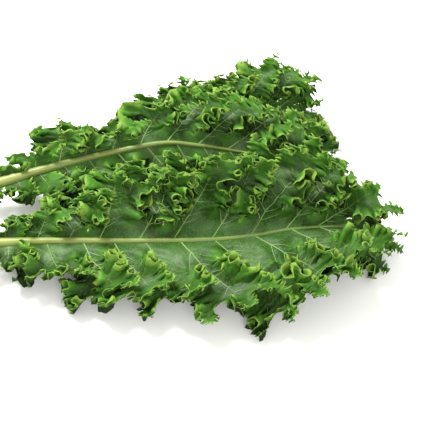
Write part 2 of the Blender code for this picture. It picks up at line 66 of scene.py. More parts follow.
# The stem, and the slot in the blade that it lies in
STEM_POINTS = 90
STEM_ROUNDNESS = 5              # points added to each half of its round, which give 14 sides
STEM_WING = 2.4                 # narrowest strip of blade left along a stem
STEM_CLEARANCE = 0.4            # strip beside the stem that doesn't wave at all
STEM_HOLDS = 9.0                # distance from there over which the blade comes free to wave
SLOT_SHARE = 0.5                # the blade runs into the stem as far as this share of its radius
SLOT_BASE = 4.0                 # how far before the blade's base the slot begins
SLOT_TIP = 3.0                  # how far before the end of the rib it ends
SLOT_POINTS = 60
SLOT_NOSE_POINTS = 7            # round the slot's end, with the two where its sides end

# The lateral veins: u, from the base of the blade to its tip, with where they leave the rib, as a
# share of its length in the blade, and their angle to it
VEIN_PLACES = ((0, 0), (0.12, 0.16), (0.35, 0.44), (0.6, 0.72), (0.8, 0.9), (1, 1))
VEIN_ANGLES = ((0, 112), (0.1, 80), (0.3, 64), (0.55, 54), (0.78, 40), (0.92, 17), (1, 0))
REACH_AT = (0, 0.1, 0.2, 0.35, 0.5, 0.65, 0.8, 0.92, 1)        # u
LIFT_AT = (0, 0.3, 0.6, 0.85, 1)                # share of the rib's whole length
LIFT_WIDTH = 75.0               # from the midrib, over which a half turns from its first to last lift

# The outline
OUTLINE_STEPS = 6000
CUT_SHARE = 0.045               # half width of a cut between lobes, as a share of a lobe
CUT_DEPTHS = (0.84, 0.84, 0.84, 0.82, 0.82, 0.8, 0.8, 0.78, 0.76, 0.7, 0.58)
CUT_POWER = 4                   # gives a cut its steep sides and round foot
SCALLOPS = 3                    # small points along each lobe
SCALLOP_DEPTH = 0.14
SCALLOP_POWER = 2.5             # narrows the notch between two scallops
REACH_VARIES = ((0.07, 0.05), (0.06, 0.2))      # by this share, over this length of u
TOOTH_LENGTH = 2.6
TOOTH_DEPTH = 1.9
TOOTH_POWER = 0.8               # sharpens a tooth's point
TOOTH_LENGTH_VARIES = (0.35, 30)                # in teeth, and over this length
TOOTH_DEPTH_VARIES = (0.75, 0.35, 17)           # usual share, change and over this length
TEETH_GROW = 3.0                # distance past the foot of a cut over which teeth come

# The line near the rim that the waves run along
MEASURE_SPACING = 1.5           # between its points
EVENING_ROUNDS = 14             # of the line
ROOM_LEAST = 2.0                # limits of the room for a wave: the radius of a circle in the blade
ROOM_MOST = 40.0
ROOM_FACING = 0.3               # points of the rim less far in than this don't limit a circle
ROOM_EVENING = 5                # points over which the room is evened
WAVES_FROM = 1.0                # distance past the foot of a cut at which waves begin
WAVES_GROW = 7.0                # and over which they come to their full share

# The main forms, as in the CAD blades. Directions are smoothed over MAIN_ROUNDS
MAIN_ROUNDS = 50
RIB_ROUNDS = 30                 # smoothing of the direction ahead along a rib
LOBE_SPREAD = 0.6               # how far a lobe reaches over the next one, as a share of its width
LOBE_FAN = 0.9                  # how many times that it reaches further still at its end
LOBE_FROM = 1.0                 # distance before the foot of a cut at which a lobe starts to spread
LOBE_GROWS = 11.0               # distance from there over which it spreads
LOBE_TILT = 10.0                # height of one edge of a lobe over its middle; the other is as low
LOBE_TILT_MOST = 1.3            # how many times that height it may come to at the end of a lobe
LOBE_SWING = 3.0                # height by which every other lobe lies over its neighbours
BASE_LOBES = (0.5, 2.5)         # lobes from the base, from which and over which they spread fully
LEAST_TURN = 1e-5               # the least turn for each millimetre, and the least bend and curl in
LEAST_BEND = 1e-3               # radians, that are drawn: an arc with none has no radius
LEAST_CURL = 0.02
BEND_FROM = 0.35                # share of the reach at which a lobe starts to bend
BEND_BLEND = 0.3                # share of a lobe over which its bend turns into its neighbour's
RIM_BAND = 14.0                 # width of the strip along the rim that curls up
CURL_ROOM = 1.25                # most that the strip may take of the room
CURL_FROM = 1.0                 # distance past the foot of a cut at which the rim starts to curl
CURL_GROWS = 14.0               # distance from there over which it comes to curl
CURL_VARIES = 0.5               # change of the curl, in radians
CURL_WANDERS = ((0.8, 24), (0.5, 70))           # parts of that change, and over this length
CURL_LIMITS = (-0.4, 1.7)

# Waves along the rim: length, height, depth in from the rim, and smoothing of the directions
RUFFLES = ((24, 8.0, 27, 50), (7.0, 5.2, 15, 12), (3.0, 2.8, 8, 4))
WAVE_GROWS = 0.35               # wave lengths past the foot of a cut, over which a wave grows
WAVE_LEAST = 0.12               # share of its height that it has at the foot
WAVE_LEAN = 0.42                # of a wave's height, by which its sides lean over its foot
WAVE_FLARE = 0.25               # of a wave's height, by which its crests reach outwards
WAVE_WANDER = (1.6, 4)          # change of the phase, in radians, over this many waves
WAVE_VARIES = (0.85, 0.45, 3)   # usual share of the height, change, over this many waves
WAVE_ROOM = 0.95                # share of the room that a wave may run into
WAVE_FULL_ROOM = 0.5            # room, as a share of a wave's depth, at which it is full height

# The blade between its veins
PUCKER_HEIGHT = 1.7
PUCKER_WIDTH = 3.5              # from a vein, over which the blade rises
PUCKER_VARIES = 0.6
SWELL_HEIGHT = 1.2              # of the slow swells under the puckers
SWELL_LENGTHS = (26, 22)
SWELL_DRIFT = 4                 # how far a swell wanders sideways
CREST_HEIGHT = 6.0              # over the blade around it, at which a crest has its full painted light and a hollow its full painted shade
CREST_BAND = 13.0               # depth in from the rim to which crests get painted light and hollows painted shade
CREST_ROUNDS = 140              # smoothing that gives the height of the blade around a crest

# The raised veins
VEIN_STEP = 1.2                 # between the points of a vein
VEIN_LENGTH = 0.93              # share of a lobe's reach
VEIN_MIDDLE = (0.42, 0.58)      # share of a lobe's width at which its vein runs
VEIN_CURVE = 0.10               # share of its length by which a vein may bend
VEIN_CURVE_VARIES = (-0.3, 1)
VEIN_RADIUS = (0.16, 0.55)      # at its end, and how much more beside the rib
VEIN_FULL = 60.0                # length at which a vein has its full width
BRANCH_PLACES = np.arange(0.22, 0.92, 0.13)     # shares of a vein's length
BRANCH_STRAYS = 0.04
BRANCH_LENGTH = (0.26, 0.36)    # share of the vein's length
BRANCH_SHORTENS = (1.1, 0.6)    # of that length, at the rib and how much less at the vein's end
BRANCH_ANGLE = (38, 50)
BRANCH_STRAIGHTENS = 0.45       # share of its angle that a branch loses on its way
BRANCH_RADIUS = (0.12, 0.5)     # at its end, and how much of the vein's it adds at the vein
VEIN_ROUNDNESS = 1              # points added to each half of a vein's round, which give 6 sides
VEIN_OUTSIDE = 0.05             # a point further than this from the blade is left off its vein
VEIN_SHORTEST = 3               # a vein with no more points than this is left out

# How the leaves lie: the dividing surfaces between them, as height over y
UNDER_FRONT_LEAF = ((-60, -8), (-42, 1), (15, 38), (60, 95))
UNDER_MIDDLE_LEAF = ((-30, -6), (0, 3), (20, 13), (30, 20), (80, 40), (120, 95))
LEAF_GAP = 0.9
SOFTNESS = 7.0                  # over this height a blade is pressed against a dividing surface
TABLE_SOFTNESS = 16.0           # under this height a blade flattens towards the table

# The leaf's skin. Sizes are across one patch, mesh or wrinkle of a pattern
RIM_FADE = 16.0                 # depth in from the rim over which the greens change
GREEN_AT = (0, 0.12, 0.6, 0.9)  # shares of that depth at which the four greens lie
BLOTCH = 14.0                   # patches of lighter and darker green
BLOTCH_SHIFT = (0.24, -0.1)     # the noise times one and plus the other shifts GREEN_AT
CREST_PAINTED_LIGHT_SHIFT = -0.1              # painted light: how far a crest shifts it, towards the rim's lighter green
BLOOM_PATCH = 26.0              # patches of waxy bloom
BLOOM_FROM = 0.42               # where in the noise a patch begins and is thickest
BLOOM_TO = 0.75
BLOOM_MOST = 0.5                # share of the bloom's own colour where it is thickest
INSIDE = (0.08, 0.7)            # shares of RIM_FADE over which bloom and the net of veins come in
PAINTED_SHADE_CRESTS = (-0.7, 0.3)            # crest values at which the painted shade is deepest, in a deep hollow, and gone, in an open place
PAINTED_SHADE_KEEPS = 0.2              # share of its colour that a deep hollow keeps under its painted shade
VEIN_NET = 2.1                  # meshes of the finest veins, drawn as wide as they need to show
NET_LINE = 0.12                 # half width of the net's lines, as a share of a mesh
NET_MOST = 0.16                 # how much of the veins' colour they have
WRINKLE = 3.8                   # wrinkles of the skin
NET_RELIEF = 0.35               # how much the net's meshes bulge beside the wrinkles' height
SKIN_RELIEF = 0.8
LEAF_IOR = 1.43                 # of wet plant tissue
LEAF_SHINE = 0.13               # little, because the bloom dulls it
LIGHT_THROUGH = 0.2             # share of the light that goes through the sheet

# The stem's skin
STALK_BLOTCH = 17.0
STALK_FIBRE = (80.0, 1.1, 1.1)  # along the stalk and across it, drawn as wide as it needs to show
FIBRE_RELIEF = 0.4
STALK_TINT_AT = (0.45, 0.95)    # where in the fibres and blotches the two tints lie
STALK_ROUGHNESS = 0.42
STALK_IOR = 1.42
STALK_DEPTHS = (2.0, 2.5, 0.8)  # how deep red, green and blue light goes in
STALK_GLOW = 0.15               # share of the light that goes in
GREENS_FROM = -170.0            # along the bunch, where the pale ribs begin to turn green
GREENS_TO = 70.0

# The studio
CAMERA_HEIGHT_ANGLE = math.radians(50)
CAMERA_DISTANCE = 1.0
CAMERA_LENS = 108.5
CAMERA_AIM = (0, -4.8, 0)
TABLE_WIDTH = 6
ROOM_LIGHT = 1.08
LIGHTS = (((-0.45, 0.5, 1.0), 0.4, 28.0), ((0.1, -0.9, 0.7), 0.5, 5.0))     # place, width, power

# Each leaf: its layer in the pile, and the height below which it lies flat on the table; the course
# of its rib; where along it the blade begins and ends; and the stem's radius at places along it. For
# each half: how far its veins reach, at REACH_AT; where its cuts are, by u; its lift in degrees at
# LIFT_AT, beside the rib and LIFT_WIDTH from it; how many degrees each lobe bends; and the share of
# the usual depth that each cut has. For the back half and then the front: where in the swing of its
# lobes it starts, and how far its rim curls, in radians.
LEAVES = (
    dict(
        name="leaf_front", seed=11, layer="over", lowest=5.5,
        rib=((-195, -48, 12), (-165, -46, 13), (-115, -46, 15), (-60, -47, 16), (0, -47, 18),
             (30, -44, 19), (60, -40, 22), (95, -39, 24), (125, -41, 22), (150, -44, 12)),
        stalk=14, rib_end=296,
        stem_at=(0, 30, 80, 200, 300), stem_radius=(4.8, 4.3, 3.0, 2.0, 0.9),
        back_reach=(10, 21, 45, 72, 80, 78, 55, 40, 30),
        front_reach=(20, 32, 60, 72, 90, 91, 60, 52, 46),
        back_cuts=(0.04, 0.10, 0.16, 0.23, 0.31, 0.39, 0.48, 0.57, 0.67, 0.77, 0.89),
        front_cuts=(0.045, 0.11, 0.19, 0.26, 0.33, 0.41, 0.49, 0.58, 0.68, 0.785, 0.895),
        back_lift=((10, 18, 22, 20, 5), (15, 30, 38, 25, 0)),
        front_lift=((5, 8, 10, 10, 5), (-5, -12, -15, -15, -15)),
        back_bend=(0, 20, 30, 70, 40, 80, 50, 80, 60, 50, 30, 0),
        front_bend=(0, -10, 30, 20, 30, 40, 30, 20, 30, 60, 0, -20),
        back_cut_share=(1, 1, 0.95, 1, 0.85, 1, 0.8, 1, 0.9, 1, 1),
        front_cut_share=(0.85, 0.9, 0.6, 0.9, 0.75, 0.55, 0.9, 0.65, 0.85, 0.7, 1),
        swing_start=(0.3, 1.2),
        rim_curl=(1.15, 1.05),
    ),
    dict(
        name="leaf_middle", seed=23, layer="between", lowest=4.5,
        rib=((-192, 3, 17), (-165, 9, 20), (-126, 19, 26), (-80, 27, 34), (-38, 32, 40),
             (-9, 31, 38), (18, 28, 35), (41, 25, 32), (69, 21, 27), (92, 18, 17)),
        stalk=18, rib_end=245,
        stem_at=(0, 30, 80, 180, 250), stem_radius=(4.6, 4.1, 2.8, 1.6, 0.8),
        back_reach=(12, 15, 32, 24, 53, 55, 52, 38, 28),
        front_reach=(12, 20, 38, 54, 60, 60, 50, 34, 26),
        back_cuts=(0.04, 0.095, 0.16, 0.23, 0.305, 0.39, 0.475, 0.57, 0.67, 0.78, 0.89),
        front_cuts=(0.045, 0.10, 0.165, 0.235, 0.315, 0.40, 0.49, 0.585, 0.685, 0.78, 0.89),
        back_lift=((30, 35, 22, 20, 5), (45, 50, 25, 15, 0)),
        front_lift=((-5, -20, -40, -30, -10), (-15, -50, -60, -50, -30)),
        back_bend=(0, 0, 20, 20, 10, 30, 10, 30, 10, 20, 10, 0),
        front_bend=(0, -10, 0, 10, 0, 20, -20, 10, -10, 0, 0, 0),
        back_cut_share=(1, 1, 1, 1, 0.9, 1, 0.85, 1, 0.9, 1, 1),
        front_cut_share=(1, 1, 1, 1, 1, 1, 1, 1, 1, 1, 1),
        swing_start=(1.3, 0.2),
        rim_curl=(1.15, 1.05),
    ),
    dict(
        name="leaf_back", seed=37, layer="under", lowest=4.0,
        rib=((-118, 40, 9), (-80, 50, 11), (-40, 62, 14), (0, 73, 17), (40, 83, 20),
             (65, 88, 20), (85, 88, 14), (100, 84, 6)),
        stalk=12, rib_end=190,
        stem_at=(0, 30, 80, 150, 200), stem_radius=(3.6, 3.2, 2.6, 1.8, 0.8),
        back_reach=(12, 18, 36, 44, 44, 52, 42, 26, 20),
        front_reach=(18, 30, 38, 44, 48, 52, 58, 56, 40),
        back_cuts=(0.045, 0.10, 0.17, 0.24, 0.32, 0.405, 0.49, 0.585, 0.68, 0.78, 0.89),
        front_cuts=(0.04, 0.095, 0.16, 0.235, 0.31, 0.395, 0.485, 0.575, 0.67, 0.775, 0.89),
        back_lift=((25, 35, 38, 30, 5), (30, 35, 30, 20, -10)),
        front_lift=((0, 0, 0, 0, -10), (5, 5, 5, -10, -20)),
        back_bend=(20, 40, 20, 30, 10, 30, 10, 20, 10, 20, 0, 0),
        front_bend=(0, 10, 0, 10, 0, 20, 0, 10, 0, 0, 0, 0),
        back_cut_share=(1, 1, 1, 1, 0.9, 1, 0.9, 1, 1, 1, 1),
        front_cut_share=(1, 1, 1, 1, 1, 1, 0.9, 1, 1, 1, 1),
        swing_start=(0.8, 1.9),
        rim_curl=(1.15, 1.05),
    ),
)


# --- curves and smooth numbers ------------------------------------------------------------------


def distances(line):
    """Distance run along a line at each of its points."""
    return np.r_[0, np.cumsum(np.linalg.norm(np.diff(line, axis=0), axis=1))]


def read_line(at, run, line):
    """The places on a line at these distances along it, from the distance run at each point."""
    return np.stack([np.interp(at, run, column) for column in line.T], axis=1)


def spaced(line, count):
    """The line again, with points evenly spaced along it, and the distance run at each."""
    run = distances(line)
    at = np.linspace(0, run[-1], count)
    return read_line(at, run, line), at


def evened(line, rounds):
    """The line again, with its points drawn in between their neighbours, again and again."""
    line = line.copy()
    for _ in range(rounds):
        line[1:-1] = (line[:-2]+2*line[1:-1]+line[2:])/4
    return line


def smooth_curve(points, steps=40, count=400):
    """A smooth curve through the points, drawn in steps between them and then spaced evenly."""
    points = np.asarray(points, float)
    ends = np.vstack([2*points[0]-points[1], points, 2*points[-1]-points[-2]])
    t = np.linspace(0, 1, steps, endpoint=False)[:, None]
    runs = []
    for a, b, c, d in zip(ends, ends[1:], ends[2:], ends[3:]):
        runs.append(0.5*(2*b+(c-a)*t+(2*a-5*b+4*c-d)*t**2+(3*b-a-3*c+d)*t**3))
    return spaced(np.vstack(runs+[points[-1:]]), count)[0]


def ease(x):
    """0 to 1 with a soft start and end."""
    x = np.clip(x, 0, 1)
    return x*x*(3-2*x)


def read_table(x, at, values):
    """A smooth curve through a short table, read at x."""
    at, values = np.asarray(at, float), np.asarray(values, float)
    slopes = np.gradient(values, at)
    i = np.clip(np.searchsorted(at, x)-1, 0, len(at)-2)
    span = at[i+1]-at[i]
    t = np.clip((x-at[i])/span, 0, 1)
    rise, turn = t*t*(3-2*t), t*(1-t)
    return (values[i]*(1-rise)+values[i+1]*rise
            + span*turn*((1-t)*slopes[i]-t*slopes[i+1]))


def make_wander(random, length):
    """A smooth random function of one number, about -1 to 1, that wanders over the length."""
    count, slowest, fastest, height, evened = 4, 0.5, 1.6, 0.62, 1.4
    rates = random.uniform(slowest, fastest, count)*2*math.pi/length
    starts = random.uniform(0, 2*math.pi, count)
    return lambda x: height*sum(np.sin(np.asarray(x)*r+s) for r, s in zip(rates, starts))/evened


def unit(vectors):
    """The vectors, each with the length of 1."""
    return vectors/(np.linalg.norm(vectors, axis=1)[:, None]+1e-9)


def is_inside(points, loop):
    """Which points lie inside a closed flat loop."""
    inside = np.zeros(len(points), bool)
    order = np.argsort(points[:, 1])
    heights = points[order, 1]
    for (x0, y0), (x1, y1) in zip(loop, np.roll(loop, -1, axis=0)):
        if y0 == y1:
            continue
        first, last = np.searchsorted(heights, sorted((y0, y1)))
        rows = order[first:last]
        crossing = x0+(points[rows, 1]-y0)*(x1-x0)/(y1-y0)
        inside[rows] ^= points[rows, 0] < crossing
    return inside


def nearest(points, targets):
    """For each point the nearest target's number and distance, all flat."""
    tree = kdtree.KDTree(len(targets))
    for i, (x, y) in enumerate(targets):
        tree.insert((x, y, 0), i)
    tree.balance()
    found = [tree.find((x, y, 0)) for x, y in points]
    return np.array([f[1] for f in found], int), np.array([f[2] for f in found])


# --- the flat leaf ------------------------------------------------------------------------------


class Leaf:
    """One leaf: where its rib runs, and its flat outline. Along the leaf is x, the back half is +y.

    A place on a blade is also known by its vein: u, 0 at the base and 1 at the tip, says where a
    lateral vein leaves the rib, and w is the distance out along it.
    """

    def __init__(self, plan):
        self.plan = plan
        self.line = smooth_curve(plan["rib"])
        self.run = distances(self.line)
        self.start, self.end = plan["stalk"], plan["rib_end"]
        self.halves = [
            dict(reach=plan[f"{side}_reach"], cuts=plan[f"{side}_cuts"],
                 lift=plan[f"{side}_lift"], bend=plan[f"{side}_bend"],
                 swing=plan["swing_start"][i], curl=plan["rim_curl"][i],
                 depths=np.array(CUT_DEPTHS)*plan[f"{side}_cut_share"])
            for i, side in enumerate(("back", "front"))]
        for half in self.halves:
            last = half["cuts"][-1]
            half["edges"] = np.r_[0, half["cuts"], 2-last]      # the last lobe lies over the tip
        self.measure_rim()

    def stem_radius(self, along):
        return np.interp(along, self.plan["stem_at"], self.plan["stem_radius"])

    def vein(self, u):
        """Where the vein u leaves the rib, and its angle to the rib."""
        share = read_table(u, *zip(*VEIN_PLACES))
        angle = np.radians(read_table(u, *zip(*VEIN_ANGLES)))
        return self.start+(self.end-self.start)*share, angle

    def half_outline(self, half, random):
        """The outline of one half, from the base to the tip, with its cuts and scallops."""
        u = np.linspace(0, 1, OUTLINE_STEPS)
        reach = read_table(u, REACH_AT, half["reach"])
        edges = half["edges"]
        lobe = np.interp(u, edges, np.arange(len(edges)))
        notch = (1-np.abs(np.sin(SCALLOPS*math.pi*lobe)))**SCALLOP_POWER
        reach = reach*(1-SCALLOP_DEPTH*notch)
        for cut, before, after, depth in zip(edges[1:], edges, edges[2:], half["depths"]):
            width = CUT_SHARE*(after-before)/2
            reach = reach*(1-depth*np.exp(-((u-cut)/width)**CUT_POWER))
        uneven = 1
        for share, length in REACH_VARIES:
            uneven = uneven+share*make_wander(random, length)(u)
        reach = reach*uneven
        start, angle = self.vein(u)
        along = start+reach*np.cos(angle)
        wing = np.where(along < self.end, self.stem_radius(along)+STEM_WING, 0)
        return np.stack([along, np.maximum(reach*np.sin(angle), wing)], axis=1)

    def measure_rim(self):
        """The rim, and the evened line near it that the waves run along, with its directions."""
        random = np.random.default_rng(self.plan["seed"])
        back, front = (self.half_outline(half, random) for half in self.halves)
        self.rim = np.vstack([back, (front*(1, -1))[::-1][1:]])
        self.rim_run = distances(self.rim)
        points, _ = spaced(self.rim, int(self.rim_run[-1]/MEASURE_SPACING))
        points = evened(points, EVENING_ROUNDS)
        count = int(distances(points)[-1]/MEASURE_SPACING)
        self.rim_points, self.rim_at = spaced(points, count)
        self.rim_along = unit(np.gradient(self.rim_points, axis=0))
        self.rim_out = np.stack([-self.rim_along[:, 1], self.rim_along[:, 0]], axis=1)
        # the widest circle that touches the line at a point and stays inside the blade
        room = np.empty(count)
        for i, (point, out) in enumerate(zip(self.rim_points, self.rim_out)):
            away = self.rim_points-point
            inward = -away@out
            radius = (away**2).sum(1)/np.maximum(2*inward, 1e-6)
            room[i] = radius[inward > ROOM_FACING].min(initial=ROOM_MOST)
        around = np.ones(ROOM_EVENING)/ROOM_EVENING
        room = np.convolve(np.pad(room, ROOM_EVENING//2, mode="edge"), around, "valid")
        self.rim_room = np.maximum(ROOM_LEAST, room)
        # how much of each wave a place on the rim takes: none at the foot of a cut
        u, w = self.veins_of(self.rim_points)
        web = self.lobe_at(u, self.rim_points[:, 1])[2]
        self.rim_share = ease((w-web-WAVES_FROM)/WAVES_GROW)

    def lobe_at(self, u, side):
        """The lobe that the vein u lies in, how far out it reaches, and where its cuts begin."""
        lobes, reaches, webs = [], [], []
        for half in self.halves:
            lobes.append(np.interp(u, half["edges"], np.arange(len(half["edges"]))))
            reaches.append(read_table(u, REACH_AT, half["reach"]))
            depth = np.interp(lobes[-1], np.arange(1, len(half["depths"])+1), half["depths"])
            webs.append(reaches[-1]*(1-depth))
        return tuple(np.where(side >= 0, *both) for both in (lobes, reaches, webs))

    def along_rim(self, at, values):
        """Values measured along the rim, read at other places along it."""
        return read_line(at, self.rim_at, values)

    def toothed_rim(self):
        """The rim with its small teeth, whose points stand on the plain rim."""
        at = np.linspace(0, self.rim_run[-1], int(self.rim_run[-1]/RIM_SPACING))
        plain = read_line(at, self.rim_run, self.rim)
        along = unit(np.gradient(plain, axis=0))
        out = np.stack([-along[:, 1], along[:, 0]], axis=1)
        random = np.random.default_rng(self.plan["seed"]+TOOTH_SEED)
        strays, length = TOOTH_LENGTH_VARIES
        turns = at/TOOTH_LENGTH+strays*make_wander(random, length)(at)
        usual, varies, length = TOOTH_DEPTH_VARIES
        notch = TOOTH_DEPTH*np.abs(np.sin(math.pi*turns))**TOOTH_POWER
        notch *= usual+varies*make_wander(random, length)(at)
        u, w = self.veins_of(plain)
        web = self.lobe_at(u, plain[:, 1])[2]
        notch *= ease((w-web)/TEETH_GROW)
        return plain-out*notch[:, None]

    def slot(self):
        """The slot that the stem lies in, from its base on the front side round to the back."""
        along = np.linspace(self.start-SLOT_BASE, self.end-SLOT_TIP, SLOT_POINTS)
        half = self.stem_radius(along)*SLOT_SHARE
        turn = np.linspace(-math.pi/2, math.pi/2, SLOT_NOSE_POINTS)[1:-1]
        nose = np.stack([along[-1]+half[-1]*np.cos(turn), half[-1]*np.sin(turn)], axis=1)
        side = spaced(np.stack([along, half], axis=1), int(along[-1]/INNER_SPACING[1][1]))[0]
        return np.vstack([side*(1, -1), nose, side[::-1]])

    def triangulate(self, random):
        """The flat blade as points and triangles, finest along the rim."""
        loop = np.vstack([self.toothed_rim(), self.slot()])
        low, high = loop.min(0), loop.max(0)
        inner = []
        depths = [depth for depth, _ in INNER_SPACING]+[np.inf]
        row_height = math.sqrt(0.75)            # of even triangles, as a share of their side
        for (depth, spacing), next_depth in zip(INNER_SPACING, depths[1:]):
            x, y = np.meshgrid(np.arange(low[0], high[0], spacing),
                               np.arange(low[1], high[1], spacing*row_height))
            x[1::2] += spacing/2
            grid = np.stack([x.ravel(), y.ravel()], axis=1)
            grid = grid+random.uniform(-SPACING_VARIES, SPACING_VARIES, grid.shape)*spacing
            grid = grid[is_inside(grid, loop)]
            far = nearest(grid, loop)[1]
            inner.append(grid[(far >= max(depth, RIM_CLEAR*spacing)) & (far < next_depth)])
        points = np.vstack([loop]+inner)
        edges = [(i, (i+1) % len(loop)) for i in range(len(loop))]
        found = geometry.delaunay_2d_cdt([Vector(p) for p in points], edges, [], 0, 1e-5, False)
        flat, triangles = np.array([tuple(p) for p in found[0]]), np.array(found[2])
        triangles = triangles[is_inside(flat[triangles].mean(1), loop)]
        a, b = (flat[triangles[:, i]]-flat[triangles[:, 0]] for i in (1, 2))
        turned = a[:, 0]*b[:, 1] < a[:, 1]*b[:, 0]
        triangles[turned] = triangles[turned][:, ::-1]
        used, triangles = np.unique(triangles, return_inverse=True)
        return flat[used], triangles.reshape(-1, 3)

    def veins_of(self, flat):
        """The u and w of flat points, found by halving."""
        out = np.abs(flat[:, 1])
        low, high = np.zeros(len(flat)), np.ones(len(flat))
        for _ in range(VEIN_HALVINGS):
            middle = (low+high)/2
            start, angle = self.vein(middle)
            beyond = (flat[:, 0]-start)*np.sin(angle) > out*np.cos(angle)
            low, high = np.where(beyond, middle, low), np.where(beyond, high, middle)
        start, _ = self.vein(low)
        return low, np.hypot(flat[:, 0]-start, out)

    def lateral_veins(self):
        """Every lateral vein and its branches, drawn flat: points and radii."""
        random = np.random.default_rng(self.plan["seed"]+VEIN_SEED)
        veins = []
        for half, side in zip(self.halves, (1, -1)):
            edges = np.minimum(half["edges"], 1)
            for before, after in zip(edges, edges[1:]):
                u = before+(after-before)*random.uniform(*VEIN_MIDDLE)
                length = VEIN_LENGTH*read_table(np.array([u]), REACH_AT, half["reach"])[0]
                w = np.arange(0, length, VEIN_STEP)
                start, angle = self.vein(u+0*w)
                curve = VEIN_CURVE*(w/length)**2*length*random.uniform(*VEIN_CURVE_VARIES)
                main = np.stack([start+w*np.cos(angle)+curve*np.sin(angle),
                                 (w*np.sin(angle)-curve*np.cos(angle))*side], axis=1)
                thin, thicker = VEIN_RADIUS
                radii = thin+thicker*(1-w/length)*min(1, length/VEIN_FULL)
                veins.append((main, radii))
                strays = random.uniform(-BRANCH_STRAYS, BRANCH_STRAYS, len(BRANCH_PLACES))
                for share in BRANCH_PLACES+strays:
                    veins += self.vein_branches(main, radii, share, length, random)
        return veins

    def vein_branches(self, main, radii, share, length, random):
        """A pair of side branches of a lateral vein, each bending towards the vein's end."""
        at = int(share*(len(main)-1))
        ahead = main[min(at+1, len(main)-1)]-main[max(at-1, 0)]
        heading = math.atan2(ahead[1], ahead[0])
        longest, shorter = BRANCH_SHORTENS
        thin, thicker = BRANCH_RADIUS
        pair = []
        for side in (1, -1):
            reach = length*random.uniform(*BRANCH_LENGTH)*(longest-shorter*share)
            run = np.arange(0, reach, VEIN_STEP)
            turn = side*np.radians(random.uniform(*BRANCH_ANGLE))*(1-BRANCH_STRAIGHTENS*run/reach)
            step = VEIN_STEP*np.stack([np.cos(heading+turn), np.sin(heading+turn)], axis=1)
            points = main[at]+np.cumsum(step, axis=0)-step[0]
            pair.append((points, thin+thicker*radii[at]*(1-run/reach)))
        return pair


# --- the waved blade ----------------------------------------------------------------------------


